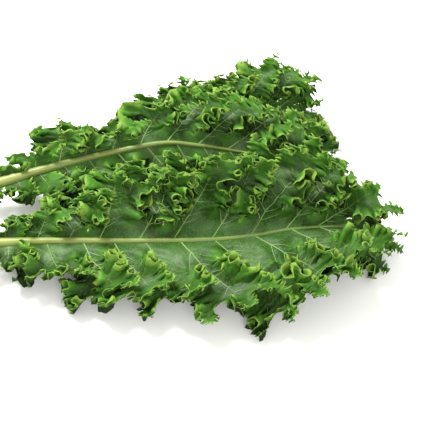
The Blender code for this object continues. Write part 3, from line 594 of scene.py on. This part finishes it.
class Blade:
    """The blade's middle surface, waved step by step. A step reads the surface's own directions.

    ends holds the two ends of every edge of the mesh, both ways round, and meeting counts, for each
    point, itself and the edges that end in it: smoothed() takes its means over them.
    """

    def __init__(self, leaf):
        self.leaf = leaf
        seed = leaf.plan["seed"]
        self.flat, self.triangles = leaf.triangulate(np.random.default_rng(seed+MESH_SEED))
        self.back = self.flat[:, 1] >= 0
        self.side = np.where(self.back, 1.0, -1.0)
        self.measure_from_rim()
        self.u, self.w = leaf.veins_of(self.flat)
        start, angle = leaf.vein(self.u)
        self.flat_vein = np.stack([np.cos(angle), np.sin(angle)*self.side], axis=1)
        past = np.maximum(self.flat[:, 0]-leaf.end, 0)
        gap = np.hypot(past, self.flat[:, 1])-leaf.stem_radius(self.flat[:, 0])-STEM_CLEARANCE
        self.free = ease(gap/STEM_HOLDS)    # 0 beside the stem, where the blade doesn't wave
        self.lobe, self.reach, web = leaf.lobe_at(self.u, self.side)
        self.past_web = self.w-web
        self.curl_share = self.rim_share*ease((self.past_web-CURL_FROM)/CURL_GROWS)
        self.random = np.random.default_rng(seed+WAVE_SEED)
        a, b, c = self.triangles.T
        self.ends = np.hstack([[a, b], [b, c], [c, a], [b, a], [c, b], [a, c]])
        self.meeting = 1+np.bincount(self.ends[0], minlength=len(self.flat))[:, None]

    def measure_from_rim(self):
        """How far each point is from the rim, and where along it, with the directions there."""
        leaf = self.leaf
        rim = spaced(leaf.rim, int(leaf.rim_run[-1]/NEAR_SPACING))[0]
        self.from_rim = nearest(self.flat, rim)[1]
        at = np.linspace(0, leaf.rim_at[-1], int(leaf.rim_at[-1]/NEAR_SPACING))
        points = leaf.along_rim(at, leaf.rim_points)
        near, depth = nearest(self.flat, points)
        self.rim_at = at[near]
        self.room = np.interp(self.rim_at, leaf.rim_at, leaf.rim_room)
        self.rim_share = np.interp(self.rim_at, leaf.rim_at, leaf.rim_share)
        self.flat_along = unit(leaf.along_rim(self.rim_at, leaf.rim_along))
        self.flat_out = unit(leaf.along_rim(self.rim_at, leaf.rim_out))
        outside = ((self.flat-points[near])*self.flat_out).sum(1) > 0
        self.depth = np.where(outside, 0, depth)

    def by_half(self, read):
        """A value for each point, read for the half that it is on."""
        back, front = (read(half) for half in self.leaf.halves)
        return np.where(self.back, back, front)

    def smoothed(self, values, rounds):
        """Values evened out over neighbouring points, again and again."""
        one, other = self.ends
        for _ in range(rounds):
            total = [np.bincount(one, column[other], len(column)) for column in values.T]
            values = (values+np.stack(total, axis=1))/self.meeting
        return values

    def directions(self, flat_directions, rounds):
        """Flat directions carried onto the waved surface, and its normal, smoothed."""
        a, b, c = self.triangles.T
        flat_1, flat_2 = self.flat[b]-self.flat[a], self.flat[c]-self.flat[a]
        edge_1, edge_2 = self.points[b]-self.points[a], self.points[c]-self.points[a]
        area = flat_1[:, 0]*flat_2[:, 1]-flat_1[:, 1]*flat_2[:, 0]
        stretch = np.hstack([edge_1*flat_2[:, 1:]-edge_2*flat_1[:, 1:],
                             edge_2*flat_1[:, :1]-edge_1*flat_2[:, :1], area[:, None]])
        corners = self.triangles.T.ravel()
        total = np.stack([np.bincount(corners, np.tile(column, 3), len(self.flat))
                          for column in stretch.T], axis=1)
        total = self.smoothed(total[:, :6]/total[:, 6:], rounds)
        along_x, along_y = total[:, :3], total[:, 3:]
        normal = unit(np.cross(along_x, along_y))
        carried = along_x*flat_directions[:, :1]+along_y*flat_directions[:, 1:]
        carried = unit(carried-normal*(carried*normal).sum(1)[:, None])
        return carried, normal

    def lay_on_rib(self):
        """Lay the flat blade along its rib, with each half lifted and curved sideways."""
        leaf = self.leaf
        at = self.flat[:, 0]
        share = at/leaf.run[-1]
        middle = read_line(at, leaf.run, leaf.line)
        tangents = evened(np.gradient(leaf.line, axis=0), RIB_ROUNDS)
        ahead = unit(read_line(at, leaf.run, tangents))
        across = unit(np.cross([0, 0, 1.0], ahead))
        up = np.cross(ahead, across)
        first = np.radians(self.by_half(lambda half: np.interp(share, LIFT_AT, half["lift"][0])))
        last = np.radians(self.by_half(lambda half: np.interp(share, LIFT_AT, half["lift"][1])))
        out = np.abs(self.flat[:, 1])
        turn = (last-first)/LIFT_WIDTH
        turn = np.where(np.abs(turn) < LEAST_TURN, LEAST_TURN, turn)
        sideways = (np.sin(first+turn*out)-np.sin(first))/turn
        rise = (np.cos(first)-np.cos(first+turn*out))/turn
        self.points = middle+across*(sideways*self.side)[:, None]+up*rise[:, None]

    def spread_lobes(self):
        """Widen the lobes so that each covers the next one's edge, with one edge high, one low."""
        lobe = self.lobe
        grown = ease((self.past_web+LOBE_FROM)/LOBE_GROWS)
        grown = grown+LOBE_FAN*ease(self.past_web/self.reach)
        first, count = BASE_LOBES
        grown *= ease((lobe-first)/count)       # less beside the stalk
        vein, normal = self.directions(self.flat_vein, MAIN_ROUNDS)
        forward = np.cross(normal, vein)*(-self.side)[:, None]
        from_middle = np.where(lobe < 0.5, 0, 2*(lobe-np.floor(lobe)-0.5))
        swing = np.sin(math.pi*lobe+self.by_half(lambda half: half["swing"]))
        lift = LOBE_TILT*from_middle+LOBE_SWING*swing*np.minimum(grown, 1)
        spread = LOBE_SPREAD*(self.leaf.end-self.leaf.start)/(len(CUT_DEPTHS)+1)
        self.points = (self.points+forward*(spread*from_middle*grown)[:, None]
                       + normal*(lift*np.minimum(grown, LOBE_TILT_MOST))[:, None])

    def turn_up(self, flat_directions, turn, length):
        """Turn what lies over this length up along an arc, by so many radians a millimetre."""
        out, normal = self.directions(flat_directions, MAIN_ROUNDS)
        bent = turn*length
        self.points = (self.points+out*(np.sin(bent)/turn-length)[:, None]
                       + normal*((1-np.cos(bent))/turn)[:, None])

    def bend_lobes(self):
        """Bend each lobe up or down by its own angle."""
        angle = np.radians(self.by_half(self.lobe_bend))
        angle = np.where(np.abs(angle) < LEAST_BEND, LEAST_BEND, angle)
        beyond = np.maximum(self.w-BEND_FROM*self.reach, 0)
        self.turn_up(self.flat_vein, angle/((1-BEND_FROM)*self.reach), beyond)

    def lobe_bend(self, half):
        """Each lobe's bend, eased into its neighbour's over the cut between them."""
        bends = np.array(half["bend"], float)
        number = np.clip(np.floor(self.lobe), 0, len(bends)-1).astype(int)
        share = self.lobe-number
        before, after = bends[np.maximum(number-1, 0)], bends[np.minimum(number+1, len(bends)-1)]
        blend_before = ease(0.5-share/BEND_BLEND)
        blend_after = ease(0.5-(1-share)/BEND_BLEND)
        return (bends[number]*(1-blend_before-blend_after)
                + before*blend_before+after*blend_after)

    def pucker(self, veins):
        """Raise the blade a little between its veins, so that they lie in furrows."""
        from_vein = nearest(self.flat, np.vstack([path for path, _ in veins]))[1]
        rise = PUCKER_HEIGHT*(1-np.exp(-(from_vein/PUCKER_WIDTH)**2))*self.free
        swell_x, swell_y = (make_wander(self.random, length) for length in SWELL_LENGTHS)
        across = swell_y(self.flat[:, 1])
        uneven = swell_x(self.flat[:, 0]+SWELL_DRIFT*across)*across
        _, normal = self.directions(self.flat_vein, MAIN_ROUNDS)
        rise = rise*(1+PUCKER_VARIES*uneven)+SWELL_HEIGHT*uneven*self.free
        self.points = self.points+normal*rise[:, None]

    def curl_rim(self):
        """Turn a strip along the rim up, more in one place than in another."""
        vary = sum(part*make_wander(self.random, length)(self.rim_at)
                   for part, length in CURL_WANDERS)
        angle = self.by_half(lambda half: half["curl"])+CURL_VARIES*vary
        angle = np.clip(angle, *CURL_LIMITS)*self.curl_share*self.free
        angle = np.where(np.abs(angle) < LEAST_CURL, LEAST_CURL, angle)
        width = np.minimum(RIM_BAND, CURL_ROOM*self.room)
        self.turn_up(self.flat_out, angle/width, np.maximum(width-self.depth, 0))

    def ruffle(self, length, height, deep, rounds):
        """Waves along the rim that lean over their own foot and die out towards the rib."""
        change, waves = WAVE_WANDER
        phase = (2*math.pi*self.rim_at/length
                 + change*make_wander(self.random, waves*length)(self.rim_at))
        usual, varies, waves = WAVE_VARIES
        height = height*(usual+varies*make_wander(self.random, waves*length)(self.rim_at))
        fade = np.clip(self.depth/np.minimum(deep, WAVE_ROOM*self.room), 0, 1)
        full = np.minimum(1, self.room/(WAVE_FULL_ROOM*deep))
        height = height*full*(1-ease(fade))*self.free
        grown = ease(self.past_web/(WAVE_GROWS*length))
        height = height*(WAVE_LEAST+(1-WAVE_LEAST)*grown)
        along, normal = self.directions(self.flat_along, rounds)
        out, _ = self.directions(self.flat_out, rounds)
        self.points = (self.points+normal*(height*np.sin(phase))[:, None]
                       - along*(WAVE_LEAN*height*np.sin(2*phase))[:, None]
                       + out*(WAVE_FLARE*height*np.cos(2*phase))[:, None])

    def settle(self):
        """Press the blade against the leaves over and under it, and against the table."""
        self.points[:, 2] = settled(self.points, self.leaf.plan["layer"],
                                    self.leaf.plan["lowest"])

    def shape(self, veins):
        """Give the blade all its forms, and note how far each point is a crest or a hollow, which the
        skin reads for its painted light and shade.
        """
        self.lay_on_rib()
        self.spread_lobes()
        self.bend_lobes()
        self.curl_rim()
        self.ruffle(*RUFFLES[0])
        self.pucker(veins)
        for ruffle in RUFFLES[1:]:
            self.ruffle(*ruffle)
        self.settle()
        even = self.smoothed(self.points, CREST_ROUNDS)
        near_rim = np.exp(-(self.from_rim/CREST_BAND)**2)
        self.crest = np.clip((self.points[:, 2]-even[:, 2])/CREST_HEIGHT, -1, 1)*near_rim
        return self.points


def pressed(height, softness):
    """A height that stays over 0, and is nearly unchanged well over it."""
    return (height+np.sqrt(height*height+softness*softness))/2


def settled(points, layer, lowest):
    """Heights of the points once the leaves lie on each other, in their layer of the pile.

    What is lower than lowest is flattened against the table.
    """
    _, y, z = points.T
    under_front = np.interp(y, *zip(*UNDER_FRONT_LEAF))
    under_middle = np.interp(y, *zip(*UNDER_MIDDLE_LEAF))
    if layer != "under":
        floor = (under_front if layer == "over" else under_middle)+LEAF_GAP
        z = floor+pressed(z-floor, SOFTNESS)
    if layer != "over":
        roof = (under_front if layer == "between" else under_middle)-LEAF_GAP
        z = roof-pressed(roof-z, SOFTNESS)
    z = np.where(z < TABLE_SOFTNESS, TABLE_SOFTNESS*(z-lowest)/(TABLE_SOFTNESS-lowest), z)
    return np.maximum(z, CAD_THICKNESS/2)


# --- pieces -------------------------------------------------------------------------------------


def make_blade(leaf, veins, materials):
    """The blade as a thin closed sheet: its upper side, its paler underside and its bright rim.

    Its mesh carries the flat blade as a UV map in metres, for the patterns that grew with the leaf.
    """
    blade = Blade(leaf)
    points = (blade.shape(veins)+PLACE)*MM
    mesh = bpy.data.meshes.new(leaf.plan["name"]+"_frilled_blade")
    mesh.from_pydata(points.tolist(), [], blade.triangles.tolist())
    mesh.shade_smooth()
    for name, values in (("from_rim", blade.from_rim), ("crest", blade.crest)):
        attribute = mesh.attributes.new(name, "FLOAT", "POINT")
        attribute.data.foreach_set("value", values.astype(np.float32))
    corners = np.empty(len(mesh.loops), int)
    mesh.loops.foreach_get("vertex_index", corners)
    flat_map = mesh.uv_layers.new(name="flat")
    flat_map.data.foreach_set("uv", (blade.flat[corners]*MM).astype(np.float32).ravel())
    for material in materials:
        mesh.materials.append(material)
    piece = bpy.data.objects.new(mesh.name, mesh)
    bpy.context.collection.objects.link(piece)
    wall = piece.modifiers.new("thickness", "SOLIDIFY")
    wall.thickness = BLADE_THICKNESS*MM
    wall.offset = 0
    wall.material_offset = 1
    wall.material_offset_rim = 2
    bpy.context.view_layer.objects.active = piece
    bpy.ops.object.modifier_apply(modifier=wall.name)
    return piece, blade, points


def make_tubes(name, paths, roundness, material):
    """Round tubes along paths, as one mesh piece. A path is its points in metres and its radii."""
    curve = bpy.data.curves.new(name, "CURVE")
    curve.dimensions = "3D"
    curve.bevel_depth = MM
    curve.bevel_resolution = roundness
    curve.use_fill_caps = True
    for points, radii in paths:
        spline = curve.splines.new("POLY")
        spline.points.add(len(points)-1)
        spline.points.foreach_set("co", np.insert(points, 3, 1, axis=1).ravel())
        spline.points.foreach_set("radius", radii)
        spline.use_smooth = True
    piece = bpy.data.objects.new(name, curve)
    bpy.context.collection.objects.link(piece)
    bpy.ops.object.select_all(action="DESELECT")
    piece.select_set(True)
    bpy.context.view_layer.objects.active = piece
    bpy.ops.object.convert(target="MESH")
    piece.data.name = name
    piece.data.materials.clear()
    piece.data.materials.append(material)
    return piece


def make_stem(leaf, material):
    """The stalk and midrib, which thins towards the tip."""
    at = np.linspace(0, leaf.end, STEM_POINTS)
    points = read_line(at, leaf.run, leaf.line)
    points[:, 2] = settled(points, leaf.plan["layer"], leaf.plan["lowest"])
    path = ((points+PLACE)*MM, leaf.stem_radius(at))
    return make_tubes(leaf.plan["name"]+"_stalk", [path], STEM_ROUNDNESS, material)


def make_veins(leaf, blade, points, veins, material):
    """The lateral veins as fine raised ribs that follow the waved blade on both of its sides."""
    flat = [Vector((x, y, 0)) for x, y in blade.flat]
    tree = BVHTree.FromPolygons(flat, blade.triangles.tolist())
    paths = []
    for path, radii in veins:
        laid = []
        for (x, y), radius in zip(path, radii):
            place, _, face, far = tree.find_nearest((x, y, 0))
            if far > VEIN_OUTSIDE and laid:
                break
            if far > VEIN_OUTSIDE:
                continue
            corners = blade.triangles[face]
            point = geometry.barycentric_transform(place, *(flat[i] for i in corners),
                                                   *(Vector(points[i]) for i in corners))
            laid.append((*point, radius))
        if len(laid) > VEIN_SHORTEST:
            laid = np.array(laid)
            paths.append((laid[:, :3], laid[:, 3]))
    return make_tubes(leaf.plan["name"]+"_veins", paths, VEIN_ROUNDNESS, material)


# --- materials ----------------------------------------------------------------------------------


def linear(code):
    """An sRGB hex colour as the linear colour that shaders take."""
    channels = [int(code[i:i+2], 16)/255 for i in (0, 2, 4)]
    return tuple(c/12.92 if c <= 0.04045 else ((c+0.055)/1.055)**2.4 for c in channels)+(1,)


def add_node(material, kind, settings=None, links=None, stops=()):
    """Add a shader node with its settings, the links into it, and a ramp's stops of colour."""
    tree = material.node_tree
    node = tree.nodes.new(kind)
    for name, value in (settings or {}).items():
        if isinstance(name, str) and hasattr(node, name):
            setattr(node, name, value)
        else:
            node.inputs[name].default_value = value
    for name, socket in (links or {}).items():
        tree.links.new(socket, node.inputs[name])
    for i, (place, color) in enumerate(stops):
        elements = node.color_ramp.elements
        element = elements[i] if i < len(elements) else elements.new(place)
        element.position, element.color = place, color
    return node


def new_material(name):
    """A material with no nodes yet."""
    material = bpy.data.materials.new(name)
    material.use_nodes = True
    material.node_tree.nodes.clear()
    return material


def leaf_surface(name, greens, bloom, vein, roughness):
    """The skin of a living kale leaf: a thin wet sheet, grown smooth, under a dull waxy bloom.

    To the eye it is light yellow-green at the rim and deep green inside, with painted light that
    makes the crests of the frills lighter and painted shade that makes the hollows between them
    nearly black; it is greyer where the bloom is thick, and netted with fine pale veins. Its
    highlights are soft, and a little light comes through it. The four greens go inwards.
    """
    material = new_material(name)
    flat = add_node(material, "ShaderNodeUVMap", {"uv_map": "flat"}).outputs["UV"]
    from_rim = add_node(material, "ShaderNodeAttribute", {"attribute_name": "from_rim"})
    crest = add_node(material, "ShaderNodeAttribute", {"attribute_name": "crest"}).outputs["Fac"]

    # greens by depth in from the rim, shifted by blotches, and painted light on the crests, which
    # shifts them towards the rim's lighter green
    depth = add_node(material, "ShaderNodeMath", {"operation": "DIVIDE", 1: RIM_FADE},
                     {0: from_rim.outputs["Fac"]}).outputs[0]
    blotches = add_node(material, "ShaderNodeTexNoise", {"Scale": METRE/BLOTCH, "Detail": 4},
                        {"Vector": flat}).outputs["Fac"]
    shift = add_node(material, "ShaderNodeMath",
                     {"operation": "MULTIPLY_ADD", 1: BLOTCH_SHIFT[0], 2: BLOTCH_SHIFT[1]},
                     {0: blotches}).outputs[0]
    shifted = add_node(material, "ShaderNodeMath", {"operation": "ADD"},
                       {0: depth, 1: shift}).outputs[0]
    # painted light: a crest is shifted towards the rim's lighter green
    shifted = add_node(material, "ShaderNodeMath", {"operation": "MULTIPLY_ADD", 1: CREST_PAINTED_LIGHT_SHIFT},
                       {0: crest, 2: shifted}).outputs[0]
    green = add_node(material, "ShaderNodeValToRGB", {}, {"Fac": shifted},
                     zip(GREEN_AT, map(linear, greens))).outputs["Color"]

    # patches of bloom, away from the rim
    patches = add_node(material, "ShaderNodeTexNoise",
                       {"Scale": METRE/BLOOM_PATCH, "Detail": 3, "Roughness": 0.6},
                       {"Vector": flat}).outputs["Fac"]
    patches = add_node(material, "ShaderNodeMapRange",
                       {"From Min": BLOOM_FROM, "From Max": BLOOM_TO, "To Max": BLOOM_MOST},
                       {"Value": patches}).outputs[0]
    inside = add_node(material, "ShaderNodeMapRange", {"From Min": INSIDE[0], "From Max": INSIDE[1]},
                      {"Value": depth}).outputs[0]
    patches = add_node(material, "ShaderNodeMath", {"operation": "MULTIPLY"},
                       {0: patches, 1: inside}).outputs[0]
    waxed = add_node(material, "ShaderNodeMixRGB", {"Color2": linear(bloom)},
                     {"Fac": patches, "Color1": green}).outputs["Color"]

    # painted shade: the hollows between the frills are darkened
    light = add_node(material, "ShaderNodeMapRange",
                     {"From Min": PAINTED_SHADE_CRESTS[0], "From Max": PAINTED_SHADE_CRESTS[1], "To Min": PAINTED_SHADE_KEEPS},
                     {"Value": crest}).outputs[0]
    shaded = add_node(material, "ShaderNodeVectorMath", {"operation": "SCALE"},
                      {0: waxed, "Scale": light}).outputs[0]

    # the net of the finest veins
    meshes = add_node(material, "ShaderNodeTexVoronoi",
                      {"feature": "DISTANCE_TO_EDGE", "Scale": METRE/VEIN_NET},
                      {"Vector": flat}).outputs[0]
    net = add_node(material, "ShaderNodeMapRange",
                   {"From Max": NET_LINE, "To Min": NET_MOST, "To Max": 0},
                   {"Value": meshes}).outputs[0]
    net = add_node(material, "ShaderNodeMath", {"operation": "MULTIPLY"},
                   {0: net, 1: inside}).outputs[0]
    color = add_node(material, "ShaderNodeMixRGB", {"Color2": linear(vein)},
                     {"Fac": net, "Color1": shaded}).outputs["Color"]

    # wrinkles, and the bulge of the blade in each mesh of the net
    wrinkles = add_node(material, "ShaderNodeTexNoise", {"Scale": METRE/WRINKLE, "Detail": 3},
                        {"Vector": flat}).outputs["Fac"]
    relief = add_node(material, "ShaderNodeMath", {"operation": "MULTIPLY_ADD", 1: NET_RELIEF},
                      {0: meshes, 2: wrinkles}).outputs[0]
    relief = add_node(material, "ShaderNodeBump", {"Strength": 0.5, "Distance": SKIN_RELIEF*MM},
                      {"Height": relief}).outputs["Normal"]

    # light from the skin, and yellower light through the sheet
    skin = add_node(material, "ShaderNodeBsdfPrincipled",
                    {"Roughness": roughness, "IOR": LEAF_IOR, "Specular IOR Level": LEAF_SHINE},
                    {"Base Color": color, "Normal": relief}).outputs["BSDF"]
    yellower = add_node(material, "ShaderNodeMixRGB",
                        {"blend_type": "MULTIPLY", "Fac": 1, "Color2": linear("f4ff9a")},
                        {"Color1": color}).outputs["Color"]
    through = add_node(material, "ShaderNodeBsdfTranslucent", {},
                       {"Color": yellower, "Normal": relief}).outputs["BSDF"]
    sheet = add_node(material, "ShaderNodeMixShader", {"Fac": LIGHT_THROUGH},
                     {1: skin, 2: through}).outputs["Shader"]
    add_node(material, "ShaderNodeOutputMaterial", {}, {"Surface": sheet})
    return material


def stem_surface(name, pale, paler, fibre_share, green_share):
    """The skin of a fresh kale stalk or vein: moist, firm and grown smooth, with fibres along it.

    To the eye it is pale yellow-green with faint stripes and a soft shine. It turns greener along
    the leaf, and light goes a little way into it.
    """
    material = new_material(name)
    place = add_node(material, "ShaderNodeTexCoord").outputs["Object"]
    drawn_out = add_node(material, "ShaderNodeMapping",
                         {"Scale": tuple(METRE/size for size in STALK_FIBRE)},
                         {"Vector": place}).outputs["Vector"]
    fibres = add_node(material, "ShaderNodeTexNoise", {"Scale": 1, "Detail": 3},
                      {"Vector": drawn_out}).outputs["Fac"]
    blotches = add_node(material, "ShaderNodeTexNoise", {"Scale": METRE/STALK_BLOTCH, "Detail": 2},
                        {"Vector": place}).outputs["Fac"]
    tint = add_node(material, "ShaderNodeMath", {"operation": "MULTIPLY_ADD", 1: fibre_share},
                    {0: fibres, 2: blotches}).outputs[0]
    tint = add_node(material, "ShaderNodeValToRGB", {}, {"Fac": tint},
                    zip(STALK_TINT_AT, map(linear, (pale, paler)))).outputs["Color"]
    along = add_node(material, "ShaderNodeSeparateXYZ", {}, {"Vector": place}).outputs["X"]
    greener = add_node(material, "ShaderNodeMapRange",
                       {"From Min": GREENS_FROM*MM, "From Max": GREENS_TO*MM, "To Max": green_share},
                       {"Value": along}).outputs[0]
    color = add_node(material, "ShaderNodeMixRGB", {"Color2": linear("4a6c28")},
                     {"Fac": greener, "Color1": tint}).outputs["Color"]
    relief = add_node(material, "ShaderNodeBump", {"Strength": 0.3, "Distance": FIBRE_RELIEF*MM},
                      {"Height": fibres}).outputs["Normal"]
    skin = add_node(material, "ShaderNodeBsdfPrincipled",
                    {"Roughness": STALK_ROUGHNESS, "IOR": STALK_IOR,
                     "Subsurface Weight": STALK_GLOW, "Subsurface Scale": 1,
                     "Subsurface Radius": tuple(depth*MM for depth in STALK_DEPTHS)},
                    {"Base Color": color, "Normal": relief}).outputs["BSDF"]
    add_node(material, "ShaderNodeOutputMaterial", {}, {"Surface": skin})
    return material


def plain_surface(name, color, roughness):
    """A surface of one colour, which scatters light evenly."""
    material = new_material(name)
    skin = add_node(material, "ShaderNodeBsdfPrincipled",
                    {"Base Color": linear(color), "Roughness": roughness}).outputs["BSDF"]
    add_node(material, "ShaderNodeOutputMaterial", {}, {"Surface": skin})
    return material


# --- the studio ---------------------------------------------------------------------------------


def add_camera():
    """A long lens that looks down on the bunch from the front."""
    back = Vector((0, -math.cos(CAMERA_HEIGHT_ANGLE), math.sin(CAMERA_HEIGHT_ANGLE)))
    target = (Vector(PLACE)+Vector(CAMERA_AIM))*MM
    bpy.ops.object.camera_add(location=target+back*CAMERA_DISTANCE,
                              rotation=(-back).to_track_quat("-Z", "Y").to_euler())
    camera = bpy.context.object
    camera.data.lens = CAMERA_LENS
    bpy.context.scene.camera = camera


def add_light(place, size, power):
    """A square soft box that faces the bunch."""
    aim = (-Vector(place)).to_track_quat("-Z", "Y").to_euler()
    bpy.ops.object.light_add(type="AREA", location=place, rotation=aim)
    light = bpy.context.object.data
    light.size, light.energy = size, power


def add_studio():
    """A matt white laminate table in a white room, with its lights and the camera."""
    bpy.ops.mesh.primitive_plane_add(size=TABLE_WIDTH)
    floor = bpy.context.object
    floor.name = "table"
    floor.data.materials.append(plain_surface("matt_white_table", "f6f6f4", 0.7))
    world = bpy.data.worlds.new("white_room")
    world.use_nodes = True
    background = world.node_tree.nodes["Background"].inputs
    background["Color"].default_value = linear("fffefb")
    background["Strength"].default_value = ROOM_LIGHT
    bpy.context.scene.world = world
    for place, size, power in LIGHTS:
        add_light(place, size, power)
    add_camera()
    bpy.context.scene.view_settings.view_transform = "Standard"


# --- the bunch ----------------------------------------------------------------------------------


def main():
    upper = leaf_surface("kale_upper_side", ("7ba040", "447820", "234a08", "325f1c"),
                         "86a474", "98b06a", 0.4)
    # the underside is paler and duller, with thicker bloom
    under = leaf_surface("kale_underside", ("789838", "467024", "365a1e", "3c6228"),
                         "708c66", "8fa862", 0.46)
    # the rim's thin side is bare tissue with no bloom: lighter and more yellow than the blade
    edge = plain_surface("kale_cut_rim", "6f9238", 0.5)
    stalk = stem_surface("kale_stalk", "6c7734", "8b944a", 0.6, 0.7)
    rib = stem_surface("kale_vein", "5a7a38", "7e9c56", 0.4, 0.2)
    for plan in LEAVES:
        leaf = Leaf(plan)
        veins = leaf.lateral_veins()
        blade_piece, blade, points = make_blade(leaf, veins, (upper, under, edge))
        stem_piece = make_stem(leaf, stalk)
        vein_piece = make_veins(leaf, blade, points, veins, rib)
        for piece, slot in ((blade_piece, "leaf_blade"), (stem_piece, "leaf_stem"),
                            (vein_piece, "leaf_stem")):
            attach(piece, "root")
        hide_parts(plan["name"]+"_blade")
        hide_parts(plan["name"]+"_stem")
    add_studio()


main()
